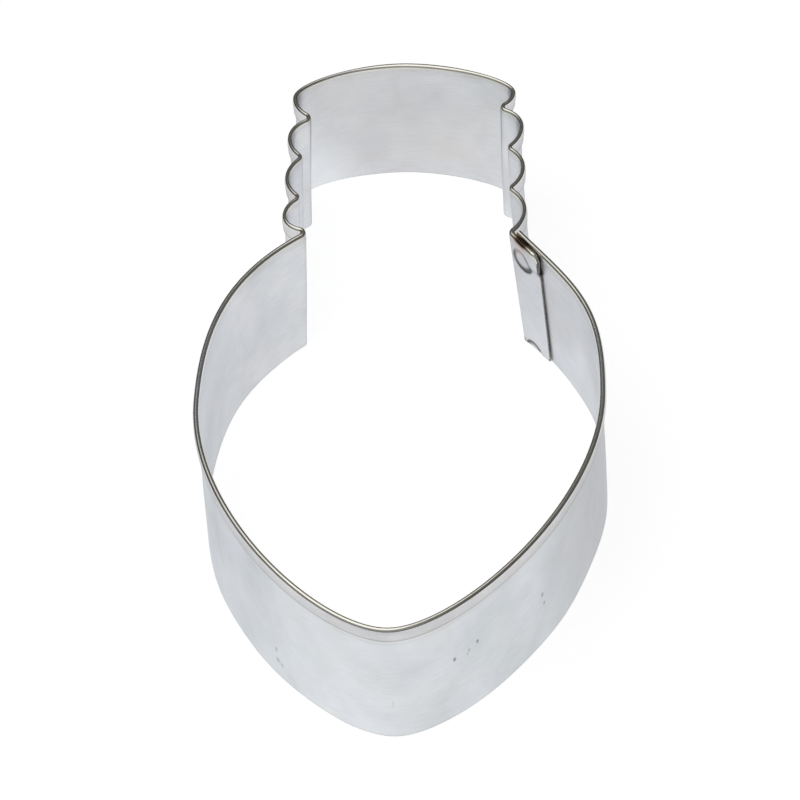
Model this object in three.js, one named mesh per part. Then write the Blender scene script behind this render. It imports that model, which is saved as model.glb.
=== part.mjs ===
// Tinplate cookie cutter in the outline of a screw-in festoon bulb.
// One strip with a folded hem is bent round the outline. Its two ends lap at the right shoulder,
// where two spot welds join them. Millimetres, +Z up: hem on top, cutting edge on the table.
import * as THREE from "three";

const degrees = THREE.MathUtils.degToRad;
const at = (x, y) => new THREE.Vector2(x, y);

// Sheet, hem and depth of the band
const SHEET = 0.3;
const BAND_DEPTH = 22.65;
const HEM_DEPTH = 2.5;
const HEM_GAP = 0.3;

// Bulb: the rim line runs along the middle of the hem, and y is 0 at the tip
const BELLY_FROM_TIP = 47.2;
const BASE_FROM_TIP = 82.9;
const TIP_FULLNESS = 10;
const LOWER_FLANK_FULLNESS = 23;

// Screw base: scalloped sides under a domed end, with heights above BASE_FROM_TIP
const DIPS = 3;
const DIP_RADIUS = 0.9;
const TOP_DIP_EXTRA = 0.95;
const CORNER_HEIGHT = 32.4;
const CORNER_FULLNESS = 3;
const END_HEIGHT = 39.6;
const END_OFFSET = -2;
const END_FULLNESS = 8;

// The two sides as bent by hand. The spring values say how far the free cutting edge stands from the line
// of the hem: at the shoulder (and over what run of the flank that fades), at the corner of the base and
// at the front of the bulb. Up is towards the domed end.
const LEFT_SIDE = {
  bellyOut: 30.05,
  shoulderOut: 16.1,
  shoulderFromTip: 82.9,
  shoulderAngle: degrees(38),
  shoulderFullness: 14.5,
  bellyFullness: 14.5,
  crest: 18.8,
  lean: 0,
  firstDip: 8.9,
  pitch: 9.3,
  dipDepth: 1.8,
  cornerInset: 0.4,
  shoulderSpringOut: 1.2,
  shoulderSpringUp: -0.9,
  springRun: 3,
  cornerSpringOut: 1.5,
  cornerSpringUp: 0.4,
  frontSpringOut: 0.8,
};
const RIGHT_SIDE = {
  bellyOut: 30.2,
  shoulderOut: 16.8,
  shoulderFromTip: 83.4,
  shoulderAngle: degrees(55),
  shoulderFullness: 16.5,
  bellyFullness: 19,
  crest: 18.3,
  lean: degrees(2),
  firstDip: 9.9,
  pitch: 9.55,
  dipDepth: 1.9,
  cornerInset: 1.1,
  shoulderSpringOut: 1.55,
  shoulderSpringUp: 0.35,
  springRun: 15,
  cornerSpringOut: -0.7,
  cornerSpringUp: 0,
  frontSpringOut: 0,
};
const FRONT_FROM_TIP = 18;
const TIP_SPRING = 0.25;
const TIP_SPRING_RUN = 40;

// Lap and its welds: lengths along the flank, and air between the two walls
const OUTER_END = 0.9;
const TAB_START = 0.8;
const TAB_END = 7.2;
const AIR_AT_START = 0.72;
const AIR_AT_END = 0.8;
const AIR_AT_EDGE = 0.2;
const WELD_DIAMETER = 3.6;
const WELD_CLEARANCE = 0.15;
const WELD_TO_HEM = 0.6;
const WELD_TO_EDGE = 0.4;

// Fineness of the facets
const ARC_STEP = degrees(13);
const FLANK_STEPS = 20;
const END_STEPS = 10;
const FOLD_STEPS = 4;
const WELD_SIDES = 20;

const HEM_WIDTH = 2 * SHEET + HEM_GAP;

function arcPoints(centre, radius, from, to) {
  const steps = Math.max(2, Math.ceil(Math.abs(to - from) / ARC_STEP));
  return new THREE.ArcCurve(centre.x, centre.y, radius, from, to, to < from).getPoints(steps);
}

const bezierPoints = (points, steps) => new THREE.CubicBezierCurve(...points).getPoints(steps);

const mirrored = (line) => line.map((point) => at(-point.x, point.y));

// Joins runs of points into one line, leaving out the points that two runs share.
function joined(runs) {
  const SAME = 1e-3;
  const line = [];
  for (const point of runs.flat()) {
    if (!line.length || line.at(-1).distanceTo(point) > SAME) line.push(point);
  }
  return line;
}

// Length of a line from its first point to each of its points.
function lengths(line) {
  let total = 0;
  return line.map((point, i) => (total += i ? point.distanceTo(line[i - 1]) : 0));
}

// The stretch of a line between two lengths.
function stretch(line, from, to) {
  const run = lengths(line);
  const pointAt = (length) => {
    const i = Math.max(1, run.findIndex((l) => l >= length));
    return line[i - 1].clone().lerp(line[i], (length - run[i - 1]) / (run[i] - run[i - 1]));
  };
  const inside = line.filter((_, i) => run[i] > from && run[i] < to);
  return joined([[pointAt(from)], inside, [pointAt(to)]]);
}

// Directions to the left of a line at its points, lengthened at a bend so that an offset keeps its width.
function leftNormals(line) {
  const sides = line.slice(1).map((point, i) => {
    const along = point.clone().sub(line[i]).normalize();
    return at(-along.y, along.x);
  });
  return line.map((_, i) => {
    const before = sides[Math.max(i - 1, 0)];
    const after = sides[Math.min(i, sides.length - 1)];
    const middle = before.clone().add(after).normalize();
    return middle.divideScalar(middle.dot(after));
  });
}

// Flank of the bulb on one side, from the shoulder round the belly to the tip.
function flank(side) {
  const shoulder = at(side.shoulderOut, side.shoulderFromTip);
  const belly = at(side.bellyOut, BELLY_FROM_TIP);
  const along = at(Math.cos(side.shoulderAngle), -Math.sin(side.shoulderAngle));
  const upper = [
    shoulder,
    shoulder.clone().addScaledVector(along, side.shoulderFullness),
    at(belly.x, belly.y + side.bellyFullness),
    belly,
  ];
  const lower = [belly, at(belly.x, belly.y - LOWER_FLANK_FULLNESS), at(TIP_FULLNESS, 0), at(0, 0)];
  return joined([bezierPoints(upper, FLANK_STEPS), bezierPoints(lower, FLANK_STEPS)]);
}

// Half a scallop: two arcs, upright at the dip and at the crest and tangent where they meet.
function halfScallop(dip, crest) {
  const rise = Math.abs(crest.y - dip.y);
  const turn = 2 * Math.atan2(crest.x - dip.x, rise);
  const crestRadius = rise / Math.sin(turn) - DIP_RADIUS;
  const dipCentre = at(dip.x + DIP_RADIUS, dip.y);
  const crestCentre = at(crest.x - crestRadius, crest.y);
  if (crest.y > dip.y) {
    return [
      ...arcPoints(dipCentre, DIP_RADIUS, Math.PI, Math.PI - turn),
      ...arcPoints(crestCentre, crestRadius, -turn, 0),
    ];
  }
  return [
    ...arcPoints(crestCentre, crestRadius, 0, turn),
    ...arcPoints(dipCentre, DIP_RADIUS, Math.PI + turn, Math.PI),
  ];
}

// One side of the base, from the point where the flank's line ends up to the corner under the domed end.
function baseSide(side, flankEnd) {
  const bend = at(Math.sin(side.shoulderAngle), Math.cos(side.shoulderAngle)).multiplyScalar(DIP_RADIUS);
  const bendCentre = flankEnd.clone().add(bend);
  const crestAt = (height) => side.crest - Math.tan(side.lean) * height;
  const dips = [at(bendCentre.x - DIP_RADIUS, bendCentre.y)];
  for (let i = 0; i < DIPS; i++) {
    const height = side.firstDip + side.pitch * i;
    const depth = i < DIPS - 1 ? side.dipDepth : side.dipDepth + TOP_DIP_EXTRA;
    dips.push(at(crestAt(height) - depth, BASE_FROM_TIP + height));
  }
  const line = [arcPoints(bendCentre, DIP_RADIUS, 1.5 * Math.PI - side.shoulderAngle, Math.PI)];
  for (let i = 0; i < DIPS; i++) {
    const middle = (dips[i].y + dips[i + 1].y) / 2;
    const crest = at(crestAt(middle - BASE_FROM_TIP), middle);
    line.push(halfScallop(dips[i], crest), halfScallop(dips[i + 1], crest));
  }
  const corner = at(crestAt(CORNER_HEIGHT) - side.cornerInset, BASE_FROM_TIP + CORNER_HEIGHT);
  line.push(halfScallop(dips[DIPS], corner));
  return joined(line);
}

// Domed end of the base between its two corners.
function domedEnd(leftCorner, rightCorner) {
  const top = at(END_OFFSET, BASE_FROM_TIP + END_HEIGHT);
  const [left, right] = [leftCorner, rightCorner].map((corner) => {
    const reach = Math.sign(corner.x) * END_FULLNESS;
    const points = [corner, at(corner.x, corner.y + CORNER_FULLNESS), at(top.x + reach, top.y), top];
    return bezierPoints(points, END_STEPS);
  });
  return joined([left, right.reverse()]);
}

// The strip runs clockwise: from its outer end down the right flank, up the left one and round the base,
// and ends as a tab inside the right flank. The hems of the two layers stand side by side.
const rightFlank = flank(RIGHT_SIDE);
const leftFlank = mirrored(flank(LEFT_SIDE)).reverse();
const lap = stretch(rightFlank, TAB_START, TAB_END);
const lapNormals = leftNormals(lap);
const lapAir = (i) => THREE.MathUtils.lerp(AIR_AT_START, AIR_AT_END, i / (lap.length - 1));
const tab = lap.map((point, i) => point.clone().addScaledVector(lapNormals[i], -SHEET - lapAir(i)));
const leftBase = mirrored(baseSide(LEFT_SIDE, mirrored(leftFlank).at(-1)));
const rightBase = baseSide(RIGHT_SIDE, tab[0]).reverse();
const rimLine = joined([
  stretch(rightFlank, OUTER_END, lengths(rightFlank).at(-1)),
  leftFlank,
  leftBase,
  domedEnd(leftBase.at(-1), rightBase[0]),
  rightBase,
  tab,
]);
const rimNormals = leftNormals(rimLine);

// How far the cutting edge has sprung sideways on one side of the part.
function sideSpring(side, height) {
  const atShoulder = at(side.shoulderSpringOut, side.shoulderSpringUp);
  if (height < 0) return atShoulder.multiplyScalar(Math.exp(height / side.springRun));
  const atCorner = at(side.cornerSpringOut, side.cornerSpringUp);
  return atShoulder.lerp(atCorner, Math.min(height / CORNER_HEIGHT, 1));
}

// How far the cutting edge has sprung from a point of the rim line, whose outward direction is given.
function spring(point, normal) {
  const height = point.y - BASE_FROM_TIP;
  const left = sideSpring(LEFT_SIDE, height);
  const right = sideSpring(RIGHT_SIDE, height);
  const across = THREE.MathUtils.smoothstep(point.x, -LEFT_SIDE.shoulderOut, RIGHT_SIDE.shoulderOut);
  const frontOut = THREE.MathUtils.lerp(LEFT_SIDE.frontSpringOut, RIGHT_SIDE.frontSpringOut, across);
  const front = point.y / FRONT_FROM_TIP;
  const tipOut = TIP_SPRING * Math.exp(-((point.y / TIP_SPRING_RUN) ** 2));
  return at(-left.x, left.y)
    .lerp(right, across)
    .addScaledVector(normal, frontOut * front * Math.exp(1 - front) + tipOut);
}

// The tab also leans out below its hem, towards the wall that it is welded to.
const edgeShifts = rimLine.map((point, i) => spring(point, rimNormals[i]));
const tabStation = (i) => rimLine.length - tab.length + i;
tab.forEach((_, i) => {
  const closing = ((lapAir(i) - AIR_AT_EDGE) * i) / (tab.length - 1);
  edgeShifts[tabStation(i)].addScaledVector(rimNormals[tabStation(i)], closing);
});

// Section of the strip: x is outward from the rim line, y is up. The wall stands on the inside
// and its top is folded over to the outside.
function hemSection() {
  const wall = -HEM_WIDTH / 2;
  const fold = (radius, from, to) =>
    new THREE.ArcCurve(0, BAND_DEPTH - HEM_WIDTH / 2, radius, from, to, to < from).getPoints(FOLD_STEPS);
  return [
    at(wall, 0),
    at(wall + SHEET, 0),
    ...fold(HEM_GAP / 2, Math.PI, 0),
    at(HEM_GAP / 2, BAND_DEPTH - HEM_DEPTH),
    at(HEM_WIDTH / 2, BAND_DEPTH - HEM_DEPTH),
    ...fold(HEM_WIDTH / 2, 0, Math.PI),
  ];
}

// Sweeps the section along the rim line, leaning the wall to the sprung edge, and closes both ends.
function bandGeometry() {
  const section = hemSection();
  const count = section.length;
  const positions = [];
  rimLine.forEach((point, i) => {
    for (const { x, y } of section) {
      const place = point
        .clone()
        .addScaledVector(rimNormals[i], x)
        .addScaledVector(edgeShifts[i], 1 - y / BAND_DEPTH);
      positions.push(place.x, place.y, y);
    }
  });
  const faces = [];
  for (let i = 0; i + 1 < rimLine.length; i++) {
    for (let j = 0; j < count; j++) {
      const a = i * count + j;
      const b = i * count + ((j + 1) % count);
      faces.push(a, b, b + count, a, b + count, a + count);
    }
  }
  const last = (rimLine.length - 1) * count;
  for (const [a, b, c] of THREE.ShapeUtils.triangulateShape(section, [])) {
    faces.push(a, c, b, last + a, last + b, last + c);
  }
  return new THREE.BufferGeometry()
    .setAttribute("position", new THREE.Float32BufferAttribute(positions, 3))
    .setIndex(faces);
}

// A weld fills the air between the two walls of the lap, half way along it, and leans with them.
function weldGeometry(height) {
  const below = 1 - height / BAND_DEPTH;
  const outerFace = lap.map((point, i) =>
    point
      .clone()
      .addScaledVector(lapNormals[i], -HEM_WIDTH / 2)
      .addScaledVector(spring(point, lapNormals[i]), below),
  );
  const tabFace = tab.map((point, i) =>
    point
      .clone()
      .addScaledVector(lapNormals[i], SHEET - HEM_WIDTH / 2)
      .addScaledVector(edgeShifts[tabStation(i)], below),
  );
  const middle = Math.floor(lap.length / 2);
  const middleLine = outerFace.map((point, i) => point.clone().lerp(tabFace[i], 0.5));
  const centre = middleLine[middle];
  const normal = leftNormals(middleLine)[middle].normalize();
  const thickness = outerFace[middle].clone().sub(tabFace[middle]).dot(normal) - 2 * WELD_CLEARANCE;
  const edgeShift = spring(lap[middle], normal).lerp(edgeShifts[tabStation(middle)], 0.5);
  const turn = new THREE.Quaternion().setFromUnitVectors(
    new THREE.Vector3(0, 1, 0),
    new THREE.Vector3(normal.x, normal.y, edgeShift.dot(normal) / BAND_DEPTH).normalize(),
  );
  return new THREE.CylinderGeometry(WELD_DIAMETER / 2, WELD_DIAMETER / 2, thickness, WELD_SIDES)
    .applyQuaternion(turn)
    .translate(centre.x, centre.y, height);
}

const tinplate = new THREE.MeshStandardMaterial({ color: 0xd3d6da, roughness: 0.35, metalness: 0.9 });
const upperWeldMetal = new THREE.MeshStandardMaterial({ color: 0x6b5f55, roughness: 0.5, metalness: 0.9 });
const lowerWeldMetal = new THREE.MeshStandardMaterial({ color: 0x8a837b, roughness: 0.5, metalness: 0.9 });

function piece(name, geometry, material) {
  const mesh = new THREE.Mesh(geometry, material);
  mesh.name = name;
  return mesh;
}

const upperWeldHeight = BAND_DEPTH - HEM_DEPTH - WELD_TO_HEM - WELD_DIAMETER / 2;
const lowerWeldHeight = WELD_TO_EDGE + WELD_DIAMETER / 2;
const cutter = new THREE.Group();
cutter.add(
  piece("tinplate_band", bandGeometry(), tinplate),
  piece("upper_spot_weld", weldGeometry(upperWeldHeight), upperWeldMetal),
  piece("lower_spot_weld", weldGeometry(lowerWeldHeight), lowerWeldMetal),
);

// The origin is at the middle of the outline, on the plane that the cutting edge stands on.
const box = new THREE.Box3().setFromObject(cutter);
const centre = box.getCenter(new THREE.Vector3());
cutter.position.set(-centre.x, -centre.y, -box.min.z);

export default cutter;
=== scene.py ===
# %% [markdown]
# # A tinplate cutter in the outline of a festoon bulb
# The cutter is one strip of tinplate. Its upper edge is folded over into a hem, the strip is
# bent by hand round a bulb and its screw base, and its two ends lap and are spot welded.
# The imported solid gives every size. This lesson makes the same strip again as thin sheet
# metal, with the marks of its making and its finish, and then photographs it.

# %% Load the solid
from cmath import exp
from math import atan2, ceil, cos, pi, radians, sin, tan
from types import SimpleNamespace as Side

import bmesh
import bpy
import numpy as np
from mathutils import Matrix, Vector


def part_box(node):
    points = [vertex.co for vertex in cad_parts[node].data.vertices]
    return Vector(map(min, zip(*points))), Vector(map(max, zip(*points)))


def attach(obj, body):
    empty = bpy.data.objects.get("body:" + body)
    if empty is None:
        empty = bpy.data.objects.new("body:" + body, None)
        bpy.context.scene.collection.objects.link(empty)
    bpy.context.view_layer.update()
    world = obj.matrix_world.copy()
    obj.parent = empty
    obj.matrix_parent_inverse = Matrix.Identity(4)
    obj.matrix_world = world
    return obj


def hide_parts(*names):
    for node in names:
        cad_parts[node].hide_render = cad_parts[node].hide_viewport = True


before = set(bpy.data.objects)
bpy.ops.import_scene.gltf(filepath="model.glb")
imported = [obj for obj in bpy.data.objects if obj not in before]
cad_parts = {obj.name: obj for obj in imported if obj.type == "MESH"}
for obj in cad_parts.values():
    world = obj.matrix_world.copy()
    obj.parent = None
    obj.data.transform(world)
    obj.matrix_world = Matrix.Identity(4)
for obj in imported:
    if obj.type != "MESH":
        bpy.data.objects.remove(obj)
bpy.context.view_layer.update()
MM = 0.001

# %% [markdown]
# ## The camera
# The photograph looks down on the cutter from the front with a long lens, so parallel edges
# stay nearly parallel. A camera can be placed by hand in the viewport, or by numbers: an aim
# point on the table, a distance, and the angles by which the camera is raised, walked round
# and tilted. Numbers are used here because they can be corrected one at a time.

# %% Stand the camera
AIM = Vector((-1.79, 8.15, 0.0)) * MM
DISTANCE = 771.1 * MM
RAISED, WALKED, TILTED = radians(44.15), radians(4.902), radians(-4.54)
LENS, SENSOR = 225, 36

camera = bpy.data.objects.new("camera", bpy.data.cameras.new("camera"))
camera.data.sensor_width = SENSOR
camera.data.lens = LENS
turn = (
    Matrix.Rotation(WALKED, 4, "Z")
    @ Matrix.Rotation(pi / 2 - RAISED, 4, "X")
    @ Matrix.Rotation(TILTED, 4, "Z")
)
camera.matrix_world = Matrix.Translation(AIM) @ turn @ Matrix.Translation((0, 0, DISTANCE))
bpy.context.collection.objects.link(camera)
bpy.context.scene.camera = camera
print("camera at", [round(v, 4) for v in camera.matrix_world.translation])

# %% [markdown]
# ## Lines in the plan
# Seen from above, the cutter is one long line. It could be drawn as a Bezier curve object and
# given a bevel profile, but here the strip also has to lean, lap and carry marks, so the
# line is worked out as points and the mesh is built from them.
# A point is a complex number, x + 1j * y in millimetres. Adding moves it, and multiplying by
# 1j turns a direction a quarter to the left.

# %% Arcs, smooth curves and joints
ARC_STEP = radians(6)
LINE_STEP = 0.9
SAME_POINT = 1e-3


def arc(centre, radius, start, end):
    steps = max(3, ceil(abs(end - start) / ARC_STEP))
    return centre + radius * np.exp(1j * np.linspace(start, end, steps + 1))


def bezier(a, b, c, d):
    steps = ceil(abs(np.diff([a, b, c, d])).sum() / LINE_STEP)
    t = np.linspace(0, 1, steps + 1)
    return (1 - t) ** 3 * a + 3 * (1 - t) ** 2 * t * b + 3 * (1 - t) * t**2 * c + t**3 * d


def join(*runs):
    line = np.concatenate(runs)
    return line[np.r_[True, abs(np.diff(line)) > SAME_POINT]]


def mirror(line):
    return -np.conj(line)


def lengths(line):
    return np.r_[0, np.cumsum(abs(np.diff(line)))]


def stretch(line, start, end, step):
    wanted = np.linspace(start, end, ceil((end - start) / step) + 1)
    along = lengths(line)
    return np.interp(wanted, along, line.real) + 1j * np.interp(wanted, along, line.imag)


def outward(line):
    along = np.gradient(line, lengths(line))
    return 1j * along / abs(along)


print("a quarter circle of 1 mm is", round(lengths(arc(0, 1, 0, pi / 2))[-1], 3), "mm long")

# %% [markdown]
# ## The bulb
# The bulb's two flanks run from the shoulder, round the belly, to the tip in front. The strip
# was bent by hand, so the sides differ a little: the right shoulder falls more steeply.
# Each flank is two Bezier curves that meet at the belly, and the fullness values are the
# lengths of their handles. y is 0 at the tip while the outline is drawn.

# %% Flanks
LOWER_FLANK_FULLNESS = 23
TIP_FULLNESS = 10
BASE_FROM_TIP = 82.9

LEFT = Side(
    belly=30.05 + 47.2j, shoulder=16.1 + 82.9j, angle=radians(38),
    shoulder_fullness=14.5, belly_fullness=14.5,
    crest=18.8, lean=0.0, first_dip=8.9, pitch=9.3, dip_depth=1.8, corner_inset=0.4,
    shoulder_spring=1.2 - 0.9j, spring_run=3, corner_spring=1.5 + 0.4j, front_spring=0.8,
)
RIGHT = Side(
    belly=30.2 + 47.2j, shoulder=16.8 + 83.4j, angle=radians(55),
    shoulder_fullness=16.5, belly_fullness=19,
    crest=18.3, lean=radians(2), first_dip=9.9, pitch=9.55, dip_depth=1.9, corner_inset=1.1,
    shoulder_spring=1.55 + 0.35j, spring_run=15, corner_spring=-0.7 + 0j, front_spring=0.0,
)


def flank(side):
    falling = exp(-1j * side.angle)
    upper = bezier(
        side.shoulder,
        side.shoulder + falling * side.shoulder_fullness,
        side.belly + 1j * side.belly_fullness,
        side.belly,
    )
    lower = bezier(side.belly, side.belly - 1j * LOWER_FLANK_FULLNESS, TIP_FULLNESS, 0)
    return join(upper, lower)


right_flank = flank(RIGHT)
left_flank = mirror(flank(LEFT))[::-1]
print("flanks:", round(lengths(left_flank)[-1], 1), "and", round(lengths(right_flank)[-1], 1), "mm")

# %% [markdown]
# ## The screw base
# Each side of the base has rounded crests between tight dips, where the strip was pressed
# round a pin, and the far end is domed. Half a scallop is two arcs, a small one in the dip
# and a larger one over the crest, which touch without a corner. That keeps the bends
# smooth, as sheet metal bends, and lets one function draw every crest.

# %% Scallops and the domed end
DIPS = 3
LAST_DIP_EXTRA = 0.95
DIP_RADIUS = 0.9
CORNER_HEIGHT = 32.4
CORNER_FULLNESS = 3
END_TOP = -2 + 1j * (BASE_FROM_TIP + 39.6)
END_FULLNESS = 8


def half_scallop(dip, crest):
    rise = abs(crest.imag - dip.imag)
    bend = 2 * atan2(crest.real - dip.real, rise)
    crest_radius = rise / sin(bend) - DIP_RADIUS
    dip_centre, crest_centre = dip + DIP_RADIUS, crest - crest_radius
    if crest.imag > dip.imag:
        return join(
            arc(dip_centre, DIP_RADIUS, pi, pi - bend), arc(crest_centre, crest_radius, -bend, 0)
        )
    return join(
        arc(crest_centre, crest_radius, 0, bend), arc(dip_centre, DIP_RADIUS, pi + bend, pi)
    )


def base_side(side, flank_end):
    bend_centre = flank_end + DIP_RADIUS * 1j * exp(-1j * side.angle)
    dips = [bend_centre - DIP_RADIUS]

    def crest_out(height):
        return side.crest - tan(side.lean) * height

    for i in range(DIPS):
        height = side.first_dip + side.pitch * i
        depth = side.dip_depth + (LAST_DIP_EXTRA if i == DIPS - 1 else 0)
        dips.append(crest_out(height) - depth + 1j * (BASE_FROM_TIP + height))
    runs = [arc(bend_centre, DIP_RADIUS, 1.5 * pi - side.angle, pi)]
    for low, high in zip(dips, dips[1:]):
        middle = (low.imag + high.imag) / 2
        crest = crest_out(middle - BASE_FROM_TIP) + 1j * middle
        runs += [half_scallop(low, crest), half_scallop(high, crest)]
    corner = crest_out(CORNER_HEIGHT) - side.corner_inset + 1j * (BASE_FROM_TIP + CORNER_HEIGHT)
    return join(*runs, half_scallop(dips[-1], corner))


def half_dome(corner):
    reach = END_FULLNESS if corner.real > 0 else -END_FULLNESS
    return bezier(corner, corner + 1j * CORNER_FULLNESS, END_TOP + reach, END_TOP)


left_base = mirror(base_side(LEFT, mirror(left_flank)[-1]))
print("left side of the base:", len(left_base), "points")

# %% [markdown]
# ## The lap
# The strip starts on the outside of the right shoulder and ends there too, as a short tab on
# the inside. The two hems stand side by side, so there is air between the walls below them.
# The lap is a stretch of the flank, moved inward by one sheet and that air.

# %% The whole line of the hem
SHEET = 0.3
OUTER_END = 0.9
TAB_START, TAB_END, TAB_STEP = 0.8, 7.2, 0.2
AIR_AT_START, AIR_AT_END = 0.72, 0.8

lap = stretch(right_flank, TAB_START, TAB_END, TAB_STEP)
lap_out = outward(lap)
lap_air = np.linspace(AIR_AT_START, AIR_AT_END, len(lap))
tab = lap - lap_out * (SHEET + lap_air)
right_base = base_side(RIGHT, tab[0])[::-1]
rim = join(
    stretch(right_flank, OUTER_END, lengths(right_flank)[-1], LINE_STEP),
    left_flank,
    left_base,
    half_dome(left_base[-1]),
    half_dome(right_base[0])[::-1],
    right_base,
    tab,
)
rim_out = outward(rim)
along = lengths(rim)
print("strip:", round(along[-1], 1), "mm long,", len(rim), "stations")

# %% [markdown]
# ## The sprung edge
# The hem keeps its shape, but the free cutting edge below it springs a little when the strip
# is let go. So each station gets a shift of its edge, which fades to nothing at the hem.

# %% Shift of the cutting edge at each station
FRONT_FROM_TIP = 18
TIP_SPRING, TIP_SPRING_RUN = 0.25, 40


def smooth(value, low, high):
    t = np.clip((value - low) / (high - low), 0, 1)
    return t * t * (3 - 2 * t)


def side_spring(side, height):
    fading = side.shoulder_spring * np.exp(np.minimum(height, 0) / side.spring_run)
    rising = np.clip(height / CORNER_HEIGHT, 0, 1)
    return fading + (side.corner_spring - side.shoulder_spring) * rising


def spring(line, line_out):
    height = line.imag - BASE_FROM_TIP
    across = smooth(line.real, -LEFT.shoulder.real, RIGHT.shoulder.real)
    left, right = mirror(side_spring(LEFT, height)), side_spring(RIGHT, height)
    front = line.imag / FRONT_FROM_TIP
    front_out = LEFT.front_spring + (RIGHT.front_spring - LEFT.front_spring) * across
    tip_out = TIP_SPRING * np.exp(-((line.imag / TIP_SPRING_RUN) ** 2))
    outwards = front_out * front * np.exp(1 - front) + tip_out
    return left + (right - left) * across + line_out * outwards


edge_shift = spring(rim, rim_out)
print("the edge has sprung by up to", round(abs(edge_shift).max(), 2), "mm")

# %% [markdown]
# ## The section of the strip
# Cut through, the strip is a wall with its top folded over to the outside. Sheet does not go
# straight into such a fold: it leans into it over half a millimetre or so, on both sides. The
# section is one chain of points along the middle of the sheet, from the cutting edge up,
# round the fold and down the flap, whose raw edge is tucked in. Its own length is kept as
# well, because it is the place on the flat strip before folding. The rows are close where
# the weld marks will be pressed in, and get closer towards the fold.

# %% One chain of points through the middle of the sheet
BAND_DEPTH = 22.65
HEM_DEPTH = 2.5
HEM_HALF = 0.35
FOLD_RADIUS = 0.3
FOLD_LEAN = radians(14)
FLAP_TUCK, TUCK_STARTS, TUCK_ENDS = 0.2, 0.7, 1.9
FINE_ROW, PLAIN_ROWS, FOLD_ROWS, HEM_ROWS = 0.2, 8, 13, 11
LOW_MARK_TOP, HIGH_MARK_FOOT, HIGH_MARK_TOP = 3.2, 16.4, 20.6

fold_middle = BAND_DEPTH - SHEET / 2 - FOLD_RADIUS
fold_starts = fold_middle + FOLD_RADIUS * sin(FOLD_LEAN)
swell = HEM_HALF - FOLD_RADIUS * cos(FOLD_LEAN)


def leaning(height):
    return HEM_HALF - swell * np.exp((height - fold_starts) * tan(FOLD_LEAN) / swell)


to_fold = np.linspace(1, 0, HEM_ROWS) ** 2
wall_z = np.r_[
    np.arange(0, LOW_MARK_TOP - FINE_ROW / 2, FINE_ROW),
    np.linspace(LOW_MARK_TOP, HIGH_MARK_FOOT, PLAIN_ROWS, endpoint=False),
    np.arange(HIGH_MARK_FOOT, HIGH_MARK_TOP - FINE_ROW / 2, FINE_ROW),
    fold_starts - (fold_starts - HIGH_MARK_TOP) * to_fold,
]
fold = np.linspace(pi - FOLD_LEAN, FOLD_LEAN, FOLD_ROWS)[1:]
flap_z = fold_starts - (fold_starts - BAND_DEPTH + HEM_DEPTH) * to_fold[-2::-1]
flap_out = leaning(flap_z) - FLAP_TUCK * smooth(fold_starts - flap_z, TUCK_STARTS, TUCK_ENDS)
row_out = np.r_[-leaning(wall_z), FOLD_RADIUS * np.cos(fold), flap_out]
row_z = np.r_[wall_z, fold_middle + FOLD_RADIUS * np.sin(fold), flap_z]
across_strip = lengths(row_out + 1j * row_z)
on_wall = np.arange(len(row_z)) < len(wall_z)
print("flat strip:", round(across_strip[-1], 1), "mm wide,", len(row_z), "rows")

# %% [markdown]
# ## Bending the strip
# Every point of the strip is found from its station and its row: out from the hem's line by
# the section, and shifted with the sprung edge. Four more things are done to it here. Hand
# bending leaves the free edge slightly wavy. Round the tight bends of the base the hem is
# nipped closer. On the tab the corner of the hem was snipped and pressed flat, so
# the bead runs down into the tab's end. And below its hem the tab was squeezed against the
# wall that it is welded to.

# %% Places of all points
WAVE, LONG_WAVE, SHORT_WAVE = 0.09, 5.3, 3.1
SHORT_SHARE, WAVE_START, WAVE_LEAN = 0.7, 1.1, 4
ENDS_HELD, ENDS_FREE = 7, 14
NIP, NIP_FADE, DOME_OPEN, SIDES_NIPPED = 0.3, 3, 4, 12
SNIP, SNIP_FOOT, PRESSED = 1.2, 16.5, 0.45
TAB_REST, SQUEEZE_STARTS, SQUEEZE_ENDS = 0.03, 0.1, 2.6

station_out, station = np.meshgrid(row_out, along)
station_z = np.tile(row_z, (len(rim), 1))
on_base = smooth(rim.imag, BASE_FROM_TIP, BASE_FROM_TIP + NIP_FADE)
nipped = NIP * on_base * smooth(abs(rim.real), DOME_OPEN, SIDES_NIPPED)
station_out = station_out * (1 - nipped[:, None])
to_tab_end = along[-1] - station
snipped = SNIP - np.sqrt(SNIP**2 - np.clip(SNIP - to_tab_end, 0, SNIP) ** 2)
station_z = station_z - snipped * smooth(station_z, SNIP_FOOT, BAND_DEPTH - HEM_DEPTH)
pressed = PRESSED * smooth(SNIP - to_tab_end, 0, SNIP)
pinch = (HEM_HALF - station_out) * pressed

free = 1 - station_z / BAND_DEPTH
wave = np.sin(station / LONG_WAVE + WAVE_START)
wave += SHORT_SHARE * np.sin(station / SHORT_WAVE + station_z / WAVE_LEAN)
wave *= WAVE * free * smooth(np.minimum(station, to_tab_end), ENDS_HELD, ENDS_FREE)
closed = np.zeros(len(rim))
closed[-len(tab):] = (lap_air - TAB_REST) * np.linspace(0, 1, len(tab))
below_hem = BAND_DEPTH - HEM_DEPTH - station_z
squeeze = closed[:, None] * smooth(below_hem, SQUEEZE_STARTS, SQUEEZE_ENDS) * on_wall
from_rim = station_out + wave + np.maximum(pinch, squeeze)
plan = rim[:, None] + rim_out[:, None] * from_rim + edge_shift[:, None] * free
print("points on the sheet:", plan.size)

# %% [markdown]
# ## Marks of the welding electrodes
# Two electrodes squeezed the lap, one right under the hem and one at the cutting edge, and
# each left a shallow round mark with a soft lip, deeper on the side of the tab's end. Such
# marks could be painted with a bump, but they are seen from the side, so the sheet itself is
# pressed: points inside the circle move outward by the depth of the mark. The places of its
# floor and its lip are shares of its radius.

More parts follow.
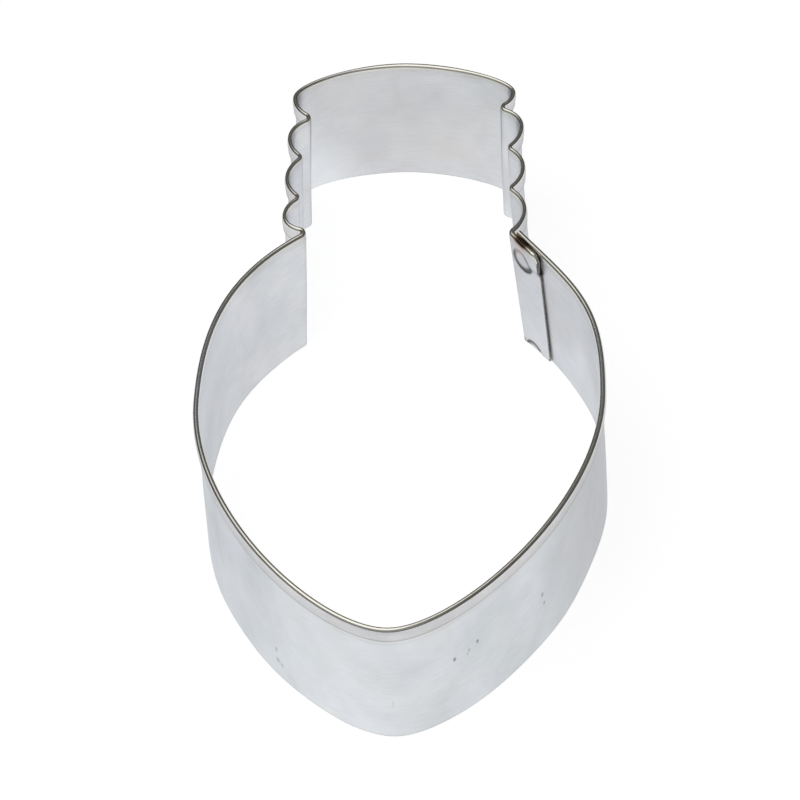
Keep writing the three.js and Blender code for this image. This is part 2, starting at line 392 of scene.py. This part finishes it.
# %% Press the marks into the tab
MARK_RADIUS, MARK_DEPTH, MARK_LIP = 2.25, 0.2, 0.04
MARK_FLOOR, LIP_AT, LIP_WIDTH = 0.8, 1.1, 0.1
MARK_SLOPE = 0.4
MARK_FROM_END = 3.9
MARK_HEIGHTS = {"upper": 18.8, "lower": -0.8}

for name, height in MARK_HEIGHTS.items():
    to_end = (MARK_FROM_END - to_tab_end) / MARK_RADIUS
    distance = np.hypot(to_end, (station_z - height) / MARK_RADIUS)
    inside = 1 - smooth(distance, MARK_FLOOR, 1)
    lip = np.exp(-(((distance - LIP_AT) / LIP_WIDTH) ** 2))
    deepening = 1 - MARK_SLOPE + MARK_SLOPE * to_end
    press = (MARK_DEPTH * deepening * inside - MARK_LIP * lip) * on_wall
    plan = plan + rim_out[:, None] * press
    print(name, "mark:", int((inside > 0.5).sum()), "points pressed in")

# %% [markdown]
# ## From points to sheet metal
# The grid of points becomes a surface without thickness. A Solidify modifier gives it the
# gauge of the sheet to both sides, and a Bevel takes the sharpness off the sheared edges
# only. Both stay live, so the gauge can still be changed. The UV map is the flat strip, which
# lets the rolling lines of the metal follow every bend. Last, the strip is set where the
# solid stands, and takes its place.

# %% The strip
UV_UNIT = 100.0
BURR, SHARP_CORNER = 0.07, radians(50)
INSIDE_SLOT, RIM_SLOT = 1, 2

solid_low, solid_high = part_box("tinplate_band")
shift = complex(plan.real.min() + plan.real.max(), plan.imag.min() + plan.imag.max()) / 2
shift -= complex(solid_low[0] + solid_high[0], solid_low[1] + solid_high[1]) / (2 * MM)


def place(point, height):
    return np.stack([(point - shift).real, (point - shift).imag, height], -1) * MM


def sheet_mesh(name, places, unrolled):
    rows = places.shape[1]
    first = (np.arange(places.shape[0] - 1)[:, None] * rows + np.arange(rows - 1)).reshape(-1, 1)
    faces = first + np.array([0, 1, rows + 1, rows])
    mesh = bpy.data.meshes.new(name)
    mesh.from_pydata(places.reshape(-1, 3).tolist(), [], faces.tolist())
    corners = np.empty(len(mesh.loops), int)
    mesh.loops.foreach_get("vertex_index", corners)
    flat = mesh.uv_layers.new(name="unrolled")
    flat.data.foreach_set("uv", unrolled.reshape(-1, 2)[corners].ravel())
    mesh.shade_smooth()
    return mesh


unrolled = np.stack(np.meshgrid(across_strip, along)[::-1], -1) / UV_UNIT
strip = bpy.data.objects.new(
    "tinplate_strip", sheet_mesh("tinplate_strip", place(plan, station_z), unrolled)
)
bpy.context.collection.objects.link(strip)

gauge = strip.modifiers.new("gauge", "SOLIDIFY")
gauge.thickness = SHEET * MM
gauge.offset = 0
gauge.use_even_offset = True
gauge.use_quality_normals = True
gauge.material_offset = INSIDE_SLOT
gauge.material_offset_rim = RIM_SLOT

burr = strip.modifiers.new("sheared edges", "BEVEL")
burr.width = BURR * MM
burr.segments = 2
burr.limit_method = "ANGLE"
burr.angle_limit = SHARP_CORNER
burr.harden_normals = True
burr.material = RIM_SLOT

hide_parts("tinplate_band")
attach(strip, "root")
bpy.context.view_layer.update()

# %% [markdown]
# ## The spot welds
# Each weld is a flat lump that melted between the two sheets and set, partly inside both. A
# squashed sphere would look too clean, so the lump is a lens of rings with an uneven rim. It
# sits at the height of the solid's weld, half way between the two sheets of the lap.

# %% Two uneven lumps
RINGS, SIDES, WAVES, FEWEST_LOBES = 9, 48, 5, 2
LUMP, LUMP_FILL, LUMP_UNEVEN, LUMP_FLAT = 0.45, 0.96, 0.07, 0.8


def weld_lump(name, node, seed):
    low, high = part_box(node)
    height, radius = (low[2] + high[2]) / 2, (high[2] - low[2]) / 2
    row = int(abs(wall_z - height / MM).argmin())
    middle = len(lap) // 2
    over = int(np.searchsorted(along, TAB_START - OUTER_END + lengths(lap)[middle]))
    between = (plan[over, row] + plan[len(rim) - len(tab) + middle, row]) / 2
    centre = Vector(place(np.array(between), np.array(height / MM)))
    out = Vector((lap_out[middle].real, lap_out[middle].imag, 0))
    side, up = Vector((0, 0, 1)).cross(out), Vector((0, 0, 1))
    angles = np.arange(SIDES) * 2 * pi / SIDES
    uneven = np.random.default_rng(seed).uniform(-1, 1, (2, WAVES))
    waves = sum(
        size * np.cos(lobes * angles + pi * turned) / lobes
        for lobes, (size, turned) in enumerate(uneven.T, FEWEST_LOBES)
    )
    mesh = bmesh.new()
    rings = []
    for lean in np.linspace(-pi / 2, pi / 2, RINGS):
        reach = radius * (LUMP_FILL + LUMP_UNEVEN * waves)
        reach = reach * (LUMP_FLAT + (1 - LUMP_FLAT) * np.cos(lean))
        thick = out * (0.5 * LUMP * MM * sin(lean))
        rings.append([
            mesh.verts.new(centre + thick + side * (r * np.cos(a)) + up * (r * np.sin(a)))
            for r, a in zip(reach, angles)
        ])
    for lower, upper in zip(rings, rings[1:]):
        for i in range(SIDES):
            mesh.faces.new((lower[i], lower[i - 1], upper[i - 1], upper[i]))
    mesh.faces.new(rings[0])
    mesh.faces.new(rings[-1])
    bmesh.ops.recalc_face_normals(mesh, faces=mesh.faces)
    data = bpy.data.meshes.new(name)
    mesh.to_mesh(data)
    mesh.free()
    data.shade_smooth()
    lump = bpy.data.objects.new(name, data)
    bpy.context.collection.objects.link(lump)
    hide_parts(node)
    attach(lump, "root")
    print(name, round(2 * radius / MM, 2), "mm across, at", [round(v / MM, 2) for v in centre])
    return lump


upper_lump = weld_lump("upper_weld_lump", "upper_spot_weld", seed=3)
lower_lump = weld_lump("lower_weld_lump", "lower_spot_weld", seed=8)

# %% [markdown]
# ## Nodes in few words
# A material is a small net of nodes. Typing out every node and link hides what matters, so
# four helpers do it: one makes a node and fills its sockets, one starts a metal, one makes a
# colour ramp from a list of stops, and one lays a colour over another.

# %% Node helpers
def node(tree, kind, inputs=(), **settings):
    made = tree.nodes.new("ShaderNode" + kind)
    for key, value in settings.items():
        setattr(made, key, value)
    for socket, value in dict(inputs).items():
        if isinstance(value, bpy.types.NodeSocket):
            tree.links.new(value, made.inputs[socket])
        else:
            made.inputs[socket].default_value = value
    return made


def new_metal(name):
    material = bpy.data.materials.new(name)
    material.use_nodes = True
    shader = material.node_tree.nodes["Principled BSDF"]
    shader.inputs["Metallic"].default_value = 1
    return material, material.node_tree, shader


def ramp(tree, factor, stops):
    made = node(tree, "ValToRGB", {"Fac": factor})
    elements = made.color_ramp.elements
    while len(elements) < len(stops):
        elements.new(0.5)
    for element, (position, colour) in zip(elements, stops):
        element.position, element.color = position, (*colour, 1)
    return made.outputs["Color"]


def mix(tree, factor, under, over, blend="MIX"):
    made = node(tree, "Mix", data_type="RGBA", blend_type=blend)
    for socket, value in ((0, factor), (6, under), (7, over)):
        if isinstance(value, bpy.types.NodeSocket):
            tree.links.new(value, made.inputs[socket])
        else:
            made.inputs[socket].default_value = value
    return made.outputs[2]


print("helpers ready")

# %% [markdown]
# ## Rolled tin
# Tinplate is steel with a thin bright coat of tin. It has a satin shine, fine lines from the
# rolling mill along the strip, and faint clouds where the coat is thicker. The lines are
# noise stretched along the flat strip, so they follow every bend, and the clouds are round
# noise in space. Both feed the colour and the roughness, and the lines a slight bump as well.
# Some faint brownish stains of handling lie over them.

# %% Lines and clouds
EDGE_ON = (0.74, 0.75, 0.77, 1)
STAINED = [(0.52, (1, 1, 1)), (0.74, (0.96, 0.945, 0.925))]
LINE_SCALE = (28, 380, 1)
CLOUD_SCALE, STAIN_SCALE = 85, 120
DULL_BELOW, BRIGHT_ABOVE = 0.36, 0.64
CLOUD_TINT = 0.05
ROUGH_BELOW, FINE_ABOVE = 0.35, 0.65
DULLEST, SHINIEST = 0.37, 0.29
GRAIN_STRENGTH, GRAIN_DEPTH = 0.3, 0.004 * MM


def rolled_tin(name, dull, bright, cloudy):
    material, tree, tin = new_metal(name)
    tin.inputs["Specular Tint"].default_value = EDGE_ON
    flat_strip = node(tree, "UVMap", uv_map="unrolled").outputs["UV"]
    in_space = node(tree, "TexCoord").outputs["Object"]
    lines_at = node(tree, "Mapping", {"Vector": flat_strip, "Scale": LINE_SCALE}).outputs["Vector"]
    lines = node(tree, "TexNoise", {"Vector": lines_at, "Scale": 1, "Detail": 3, "Roughness": 0.6})
    clouds = node(
        tree, "TexNoise",
        {"Vector": in_space, "Scale": CLOUD_SCALE, "Detail": 4, "Roughness": 0.6},
    )
    tone = node(
        tree, "Mix", {0: cloudy, 2: lines.outputs["Fac"], 3: clouds.outputs["Fac"]}
    ).outputs[0]
    colour = ramp(tree, tone, [(DULL_BELOW, dull), (BRIGHT_ABOVE, bright)])
    colour = mix(tree, CLOUD_TINT, colour, clouds.outputs["Color"], "OVERLAY")
    stains = node(
        tree, "TexNoise",
        {"Vector": in_space, "Scale": STAIN_SCALE, "Detail": 3, "Distortion": 0.6},
    )
    colour = mix(tree, 1.0, colour, ramp(tree, stains.outputs["Fac"], STAINED), "MULTIPLY")
    shine = node(
        tree, "MapRange",
        {"Value": tone, "From Min": ROUGH_BELOW, "From Max": FINE_ABOVE,
         "To Min": DULLEST, "To Max": SHINIEST},
    )
    grain = node(
        tree, "Bump",
        {"Height": lines.outputs["Fac"], "Strength": GRAIN_STRENGTH, "Distance": GRAIN_DEPTH},
    )
    tree.links.new(grain.outputs["Normal"], tin.inputs["Normal"])
    return material, tree, tin, flat_strip, in_space, colour, shine.outputs[0]


print("UV map of the strip:", [round(v / UV_UNIT, 3) for v in (along[-1], across_strip[-1])])

# %% [markdown]
# ## What the tools left, and painted shade under the fold
# Across the strip the tin is not the same everywhere. The fold is stretched, burnished by the
# tool and a little yellow, the flap of the hem is greyer, and the sheared edges show a thin
# line of bare steel. One colour ramp across the flat strip holds all of that, and a second
# ramp makes the fold smoother than the walls. Outside, a faint darker line runs below the
# hem. Inside, the wall just under the fold is darkened with painted shade from the fold above.
# From the tip to the left the flap lies tight, and neither its edge nor the faint line shows,
# so there the colour fades over to a plainer ramp.

# %% Bands across the strip
FOLD_STARTS = across_strip[len(wall_z) - 1]
FOLD_ENDS = across_strip[len(wall_z) + len(fold) - 1]
STRIP_WIDTH = across_strip[-1]
UNDER_FOLD = FOLD_STARTS - 0.4
PLAIN = (1, 1, 1)
WORN_FOLD = (1.12, 1.06, 0.91)
GREY_FLAP = (0.985, 0.97, 0.945)
BARE_STEEL = (0.75, 0.72, 0.67)
WORN_EDGE = (0.74, 0.72, 0.69)
# A faint darker line on the outside, a little below the hem.
FAINT_LINE = (0.92, 0.92, 0.91)
# Painted shade: this darkens the inside wall just under the fold.
PAINTED_FOLD_SHADE = (0.90, 0.895, 0.88)
BURNISHED = (0.5, 0.5, 0.5)
LOOSE_UNTIL, TIGHT_FROM = 103, 118

edge_bands = [(0.0, WORN_EDGE), (0.22, PLAIN)]
faint_line_band = [(18.75, PLAIN), (19.05, FAINT_LINE), (19.4, PLAIN), (UNDER_FOLD, PLAIN)]
fold_shade_band = [(FOLD_STARTS - 1.7, PLAIN), (UNDER_FOLD, PAINTED_FOLD_SHADE)]
smooth_bands = [
    (FOLD_STARTS - 0.3, PLAIN), (FOLD_STARTS, BURNISHED), (FOLD_ENDS, BURNISHED),
    (FOLD_ENDS + 0.3, PLAIN),
]


def hem_bands(flap, edge):
    return [
        (FOLD_STARTS, WORN_FOLD), (FOLD_ENDS - 0.25, WORN_FOLD),
        (FOLD_ENDS + 0.1, flap), (STRIP_WIDTH - 0.34, flap),
        (STRIP_WIDTH - 0.2, edge), (STRIP_WIDTH, edge),
    ]


def banded(tree, flat_strip, colour, bands):
    up_strip = node(tree, "SeparateXYZ", {0: flat_strip}).outputs["Y"]
    share = node(
        tree, "MapRange", {"Value": up_strip, "From Max": STRIP_WIDTH / UV_UNIT}
    ).outputs[0]
    stops = [(place_up / STRIP_WIDTH, band) for place_up, band in bands]
    return mix(tree, 1.0, colour, ramp(tree, share, stops), "MULTIPLY")


def fading_hem(tree, flat_strip, colour, loose, tight):
    along_strip = node(tree, "SeparateXYZ", {0: flat_strip}).outputs["X"]
    share = node(
        tree, "MapRange",
        {"Value": along_strip, "From Min": LOOSE_UNTIL / UV_UNIT, "From Max": TIGHT_FROM / UV_UNIT},
        interpolation_type="SMOOTHSTEP",
    ).outputs[0]
    loose_colour = banded(tree, flat_strip, colour, loose)
    return mix(tree, share, loose_colour, banded(tree, flat_strip, colour, tight))


loose_outside = edge_bands + faint_line_band + hem_bands(GREY_FLAP, BARE_STEEL)
tight_outside = edge_bands + [(UNDER_FOLD, PLAIN)] + hem_bands(PLAIN, PLAIN)
bands_inside = edge_bands + fold_shade_band + hem_bands(GREY_FLAP, BARE_STEEL)
print("bands outside:", len(loose_outside), "and", len(tight_outside))

# %% [markdown]
# ## Heat tint, weld rings, patches and specks
# The upper weld scorched the hem of the tab: nearly black in the middle, then brown, then
# straw. The electrodes left a dark ring round each weld, thicker on the deep side, which is
# what lies inside one circle and outside another. Large soft patches make the tin brighter in
# some places and duller in others. They are partly the coat's own uneven tone and partly
# painted light and painted shade, such as the brighter front round the tip and the duller
# right flank, on which less light falls. A few dark specks lie on the walls, and two sit at
# the foot of the tab's corners. All of these are places on the flat strip, so each is a
# distance on it, measured with its own width and height.

# %% Spots on the flat strip
SCORCH = [
    (0.0, (0.07, 0.048, 0.038)), (0.42, (0.13, 0.09, 0.065)), (0.58, (0.5, 0.39, 0.32)),
    (0.8, (0.90, 0.83, 0.78)), (1.0, PLAIN),
]
SCORCH_AT = (along[-1] - 4.0, FOLD_STARTS + 0.4)
SCORCH_SIZE = (2.7, 1.1)
BLOTCH_SCALE, BLOTCH = 1100, 0.3
DARK_SPECK = (0.13, 0.125, 0.12, 1)
# Duller tin: partly tarnish, partly painted shade.
DULL_TIN_AND_SHADE = (0.52, 0.51, 0.505, 1)
STRAW = (0.66, 0.56, 0.51, 1)
# Brighter tin: partly a brighter coat, partly painted light.
BRIGHT_TIN_AND_LIGHT = (0.89, 0.91, 0.94, 1)
RING_GREY = (0.085, 0.075, 0.065, 1)
RING_SHIFT = (-0.25, 0.0)
RING_OUTSIDE, RING_INSIDE, RING_STRENGTH = (0.97, 1.07), (0.5, 0.78), 0.9
PATCH_CORE = 0.2


def spot(tree, flat_strip, at, size):
    """How far a point of the strip is from a spot: 0 in its middle and 1 at its edge."""
    middle = (at[0] / UV_UNIT, at[1] / UV_UNIT, 0)
    away = node(tree, "VectorMath", {0: flat_strip, 1: middle}, operation="SUBTRACT").outputs[0]
    sized = node(
        tree, "VectorMath", {0: away, 1: (UV_UNIT / size[0], UV_UNIT / size[1], 0)},
        operation="MULTIPLY",
    ).outputs[0]
    return node(tree, "VectorMath", {0: sized}, operation="LENGTH").outputs["Value"]


def scorched_tin(tree, flat_strip, in_space, colour):
    blotch = node(tree, "TexNoise", {"Vector": in_space, "Scale": BLOTCH_SCALE, "Detail": 2})
    uneven = node(
        tree, "Math", {0: blotch.outputs["Fac"], 1: BLOTCH, 2: -BLOTCH / 2},
        operation="MULTIPLY_ADD",
    ).outputs[0]
    near = spot(tree, flat_strip, SCORCH_AT, SCORCH_SIZE)
    burnt = node(tree, "Math", {0: near, 1: uneven}, operation="ADD").outputs[0]
    return mix(tree, 1.0, colour, ramp(tree, burnt, SCORCH), "MULTIPLY")


def ringed(tree, flat_strip, colour):
    for height in MARK_HEIGHTS.values():
        at = (along[-1] - MARK_FROM_END, height)
        bottom_at = (at[0] + RING_SHIFT[0], at[1] + RING_SHIFT[1])
        within = node(
            tree, "MapRange",
            {"Value": spot(tree, flat_strip, at, (MARK_RADIUS, MARK_RADIUS)),
             "From Min": RING_OUTSIDE[0], "From Max": RING_OUTSIDE[1],
             "To Min": RING_STRENGTH, "To Max": 0.0},
        ).outputs[0]
        beyond = node(
            tree, "MapRange",
            {"Value": spot(tree, flat_strip, bottom_at, (MARK_RADIUS, MARK_RADIUS)),
             "From Min": RING_INSIDE[0], "From Max": RING_INSIDE[1]},
        ).outputs[0]
        ring = node(tree, "Math", {0: within, 1: beyond}, operation="MULTIPLY").outputs[0]
        colour = mix(tree, ring, colour, RING_GREY)
    return colour


def patched(tree, flat_strip, colour, patches):
    for other, at, size, strength in patches:
        near = spot(tree, flat_strip, at, size)
        share = node(
            tree, "MapRange",
            {"Value": near, "From Min": PATCH_CORE, "To Min": strength, "To Max": 0.0},
            interpolation_type="SMOOTHSTEP",
        )
        colour = mix(tree, share.outputs[0], colour, other)
    return colour


print("scorch on the flat strip at", [round(v, 2) for v in SCORCH_AT], "mm")

# %% [markdown]
# ## Outside and inside
# The two faces of the sheet have seen different handling and carry different painted light
# and shade, so each gets its own material from the same parts. The Solidify modifier gives
# the second shell and the rim their own slots.

# %% The two tin finishes
# The large patches outside are partly the tin's own tone and partly painted light and painted
# shade.
PATCHES_OUTSIDE = [
    (BRIGHT_TIN_AND_LIGHT, (111, 10), (17, 24), 0.2), (DULL_TIN_AND_SHADE, (46, 10), (30, 30), 0.4),
    (BRIGHT_TIN_AND_LIGHT, (97, 17.5), (13, 5), 0.22), (STRAW, (56, 12), (8, 6), 0.1),
    (DARK_SPECK, (88.3, 11.55), (0.42, 0.6), 0.75), (DARK_SPECK, (85.6, 11.6), (0.35, 0.5), 0.35),
    (DARK_SPECK, (85.9, 11.0), (0.3, 0.4), 0.3), (DARK_SPECK, (83.9, 12.15), (0.4, 0.55), 0.7),
    (DARK_SPECK, (69.3, 9.6), (0.42, 0.6), 0.6), (DARK_SPECK, (68.9, 7.6), (0.35, 0.5), 0.5),
    (DARK_SPECK, (120.4, 5.1), (0.5, 0.7), 0.34), (DARK_SPECK, (120.0, 3.2), (0.8, 0.6), 0.36),
    (DARK_SPECK, (119.0, 2.9), (0.5, 0.5), 0.34), (DARK_SPECK, (98.4, 6.8), (0.3, 1.2), 0.12),
]
# The large patches inside are partly the tin's own tone and partly painted light and painted shade.
PATCHES_INSIDE = [
    (DULL_TIN_AND_SHADE, (255, 10), (26, 19), 0.42), (DULL_TIN_AND_SHADE, (243, 20), (10, 9), 0.35),
    (DULL_TIN_AND_SHADE, (298, 8), (14, 16), 0.55), (BRIGHT_TIN_AND_LIGHT, (239, 2), (10, 11), 0.5),
    (BRIGHT_TIN_AND_LIGHT, (164, 20), (24, 11), 0.6), (BRIGHT_TIN_AND_LIGHT, (33, 20), (20, 11), 0.4),
    (STRAW, (along[-1] - 4.4, 20.6), (2.4, 1.9), 0.5), (STRAW, (262, 5.8), (6, 4), 0.14),
    (DULL_TIN_AND_SHADE, (10, 12), (8, 9), 0.25), (BRIGHT_TIN_AND_LIGHT, (18, 5), (8, 8), 0.22),
    (DULL_TIN_AND_SHADE, (279, 7), (5, 9), 0.35),
    (DARK_SPECK, (6.6, 17.4), (0.35, 0.5), 0.35), (DARK_SPECK, (7.3, 16.9), (0.25, 0.35), 0.25),
    # Two dark spots at the foot of the tab's corners.
    (DARK_SPECK, (along[-1] - 0.12, 0.1), (0.35, 0.5), 0.8),
    (DARK_SPECK, (along[-1] - 6.5, 0.1), (0.7, 0.9), 0.9),
]


def finish_tin(name, dull, bright, cloudy, loose, tight, patches, rings=False):
    material, tree, tin, flat_strip, in_space, colour, shine = rolled_tin(
        name, dull, bright, cloudy
    )
    tree.links.new(banded(tree, flat_strip, shine, smooth_bands), tin.inputs["Roughness"])
    colour = fading_hem(tree, flat_strip, colour, loose, tight)
    if rings:
        colour = ringed(tree, flat_strip, colour)
    colour = scorched_tin(tree, flat_strip, in_space, colour)
    colour = patched(tree, flat_strip, colour, patches)
    tree.links.new(colour, tin.inputs["Base Color"])
    print(name, "has", len(tree.nodes), "nodes")
    return material


tin_outside = finish_tin(
    "tin_outside", dull=(0.625, 0.647, 0.67), bright=(0.73, 0.755, 0.78), cloudy=0.6,
    loose=loose_outside, tight=tight_outside, patches=PATCHES_OUTSIDE,
)
tin_inside = finish_tin(
    "tin_inside", dull=(0.603, 0.617, 0.643), bright=(0.722, 0.736, 0.762), cloudy=0.56,
    loose=bands_inside, tight=bands_inside, patches=PATCHES_INSIDE, rings=True,
)

# %% [markdown]
# ## Sheared edges and weld metal
# Where the sheet was cut, its steel core is bare: darker, warmer and duller than the tin. The
# Solidify modifier hands the rim to the third material slot, and the Bevel does the same.
# The lumps of weld metal are duller still, and the upper one is burnt brown.

# %% The other metals
ROUGHNESS_SPREAD = 0.12
DARK_BELOW, LIGHT_ABOVE = 0.35, 0.65
PIT_STRENGTH, PIT_DEPTH = 0.4, 0.02 * MM


def mottled_metal(name, dark, light, scale, roughness):
    material, tree, shader = new_metal(name)
    where = node(tree, "TexCoord").outputs["Object"]
    mottle = node(tree, "TexNoise", {"Vector": where, "Scale": scale, "Detail": 5})
    colours = ramp(tree, mottle.outputs["Fac"], [(DARK_BELOW, dark), (LIGHT_ABOVE, light)])
    tree.links.new(colours, shader.inputs["Base Color"])
    dull = node(
        tree, "MapRange",
        {"Value": mottle.outputs["Fac"],
         "To Min": roughness + ROUGHNESS_SPREAD, "To Max": roughness - ROUGHNESS_SPREAD},
    )
    tree.links.new(dull.outputs[0], shader.inputs["Roughness"])
    pits = node(
        tree, "Bump",
        {"Height": mottle.outputs["Fac"], "Strength": PIT_STRENGTH, "Distance": PIT_DEPTH},
    )
    tree.links.new(pits.outputs["Normal"], shader.inputs["Normal"])
    return material


sheared = mottled_metal(
    "sheared_steel", dark=(0.24, 0.22, 0.20), light=(0.42, 0.40, 0.37), scale=2500, roughness=0.5
)
scorched = mottled_metal(
    "scorched_weld", dark=(0.05, 0.035, 0.03), light=(0.22, 0.15, 0.11), scale=1800, roughness=0.55
)
set_metal = mottled_metal(
    "set_weld", dark=(0.24, 0.23, 0.22), light=(0.45, 0.44, 0.43), scale=1800, roughness=0.5
)
for metal in (tin_outside, tin_inside, sheared):
    strip.data.materials.append(metal)
upper_lump.data.materials.append(scorched)
lower_lump.data.materials.append(set_metal)
print("materials on the strip:", [m.name for m in strip.data.materials])

# %% [markdown]
# ## The table
# The cutter stands on a plain white table that fades into the background. To the camera, and in
# reflections, the table glows on top of the light that falls on it, so that it reads as
# white while the cutter keeps its soft shadow. Light Path tells such rays apart.

# %% A white table
TABLE_RADIUS, TABLE_SIDES = 3.0, 96
TABLE_DROP = 0.02 * MM
TABLE_WHITE = (0.9, 0.9, 0.9, 1)
TABLE_GLOW = 0.8


def seen_rays(tree):
    rays = node(tree, "LightPath").outputs
    metal = node(
        tree, "Math", {0: rays["Is Glossy Ray"], 1: rays["Is Transmission Ray"]},
        operation="MAXIMUM",
    )
    return node(
        tree, "Math", {0: rays["Is Camera Ray"], 1: metal.outputs[0]}, operation="MAXIMUM"
    ).outputs[0]


def stage_mesh(name, mesh, material):
    data = bpy.data.meshes.new(name)
    mesh.to_mesh(data)
    mesh.free()
    data.materials.append(material)
    made = bpy.data.objects.new(name, data)
    bpy.context.collection.objects.link(made)
    return made


white = bpy.data.materials.new("white_table")
white.use_nodes = True
tree = white.node_tree
tree.nodes.clear()
matt = node(tree, "BsdfDiffuse", {"Color": TABLE_WHITE})
glow_level = node(tree, "Math", {0: seen_rays(tree), 1: TABLE_GLOW}, operation="MULTIPLY")
glow = node(tree, "Emission", {"Strength": glow_level.outputs[0]})
both = node(tree, "AddShader", {0: matt.outputs[0], 1: glow.outputs[0]})
node(tree, "OutputMaterial", {"Surface": both.outputs[0]})

disc = bmesh.new()
bmesh.ops.create_circle(disc, cap_ends=True, segments=TABLE_SIDES, radius=TABLE_RADIUS)
table = stage_mesh("table", disc, white)
table.location.z = -TABLE_DROP
print("table", TABLE_RADIUS, "m in radius")

# %% [markdown]
# ## Cards round the table
# Polished metal has no colour of its own to draw its edges with: it shows the room. A
# photographer stands grey cards round it, so that the round bead of the hem has a bright
# line from the light above between two dark ones. The card here is one ring, highest on the
# right, because the light comes from the left. It also covers the table from just outside the
# picture. It is not lit but glows, and its light and shade are painted into that glow: it is
# brightest in front, a little to the left, and darkest behind and low down, where the least
# light would fall on it. It is seen only in reflections, and it throws no shadow.

# %% A ring of grey card
CARD_INNER_RADIUS, CARD_RADIUS = 0.115, 0.5
CARD_LOW, CARD_HIGH, HIGH_CARD_AT = radians(41), radians(74), radians(-25)
LIT_CARD_AT = radians(-110)
CARD_BEHIND, CARD_IN_FRONT, CARD_GAIN = 0.08, 0.34, 0.06
CARD_SIDES = 72
CARD_LIFT = 0.5 * MM

painted_card_glow = bpy.data.materials.new("glowing_card_painted")
painted_card_glow.use_nodes = True
tree = painted_card_glow.node_tree
tree.nodes.clear()
on_card = node(tree, "TexCoord").outputs["Object"]
to_front = node(
    tree, "VectorMath", {0: on_card, 1: (cos(LIT_CARD_AT), sin(LIT_CARD_AT), 0)},
    operation="DOT_PRODUCT",
).outputs["Value"]
at_foot = node(
    tree, "MapRange",
    {"Value": to_front, "From Max": CARD_RADIUS, "To Min": CARD_BEHIND, "To Max": CARD_IN_FRONT},
)
up = node(tree, "SeparateXYZ", {0: on_card}).outputs["Z"]
gain = node(tree, "MapRange", {"Value": up, "From Max": CARD_RADIUS, "To Max": CARD_GAIN})
card_level = node(tree, "Math", {0: at_foot.outputs[0], 1: gain.outputs[0]}, operation="ADD")
# Painted light: the card's brightness is its own glow, graded from back to front and upward.
card_light = node(tree, "Emission", {"Strength": card_level.outputs[0]})
node(tree, "OutputMaterial", {"Surface": card_light.outputs[0]})

ring = bmesh.new()
inner, foot, top = [], [], []
for k in range(CARD_SIDES):
    angle = 2 * pi * k / CARD_SIDES
    x, y = np.cos(angle), np.sin(angle)
    rise = CARD_LOW + (CARD_HIGH - CARD_LOW) * (0.5 + 0.5 * np.cos(angle - HIGH_CARD_AT))
    inner.append(ring.verts.new((CARD_INNER_RADIUS * x, CARD_INNER_RADIUS * y, CARD_LIFT)))
    foot.append(ring.verts.new((CARD_RADIUS * x, CARD_RADIUS * y, CARD_LIFT)))
    top.append(ring.verts.new((CARD_RADIUS * x, CARD_RADIUS * y, CARD_RADIUS * tan(rise))))
for k in range(CARD_SIDES):
    j = (k + 1) % CARD_SIDES
    ring.faces.new((inner[k], inner[j], foot[j], foot[k]))
    ring.faces.new((foot[k], foot[j], top[j], top[k]))
cards = stage_mesh("glowing_cards_ring", ring, painted_card_glow)
cards.visible_camera = False
cards.visible_diffuse = False
cards.visible_transmission = False
cards.visible_shadow = False
print("cards from", round(CARD_RADIUS * tan(CARD_LOW), 2), "to",
      round(CARD_RADIUS * tan(CARD_HIGH), 2), "m high")

# %% [markdown]
# ## Light
# One large soft box hangs over the table, a little to the left, and the white room fills the
# shadows. A large lamp close by gives soft edges, and its brightness is set so that the
# white of the table stays just white and the metal keeps its own tone.

# %% Soft box and room
BOX_SIZE = (0.9, 0.7)
BOX_AT = Vector((-0.22, -0.08, 0.75))
BOX_BRIGHTNESS = 0.35
ROOM_FILL = 0.16

soft_box = bpy.data.objects.new("soft_box", bpy.data.lights.new("soft_box", "AREA"))
soft_box.data.shape = "RECTANGLE"
soft_box.data.size, soft_box.data.size_y = BOX_SIZE
soft_box.data.energy = BOX_BRIGHTNESS * pi * BOX_SIZE[0] * BOX_SIZE[1]
soft_box.location = BOX_AT
soft_box.rotation_euler = (-BOX_AT).to_track_quat("-Z", "Y").to_euler()
bpy.context.collection.objects.link(soft_box)

room = bpy.data.worlds.new("white_room")
room.use_nodes = True
tree = room.node_tree
room_level = node(
    tree, "MapRange", {"Value": seen_rays(tree), "To Min": ROOM_FILL, "To Max": 1.0}
)
tree.nodes["Background"].inputs["Color"].default_value = (1, 1, 1, 1)
tree.links.new(room_level.outputs[0], tree.nodes["Background"].inputs["Strength"])
bpy.context.scene.world = room
bpy.context.scene.view_settings.view_transform = "Standard"
print("soft box of", round(soft_box.data.energy, 2), "W")
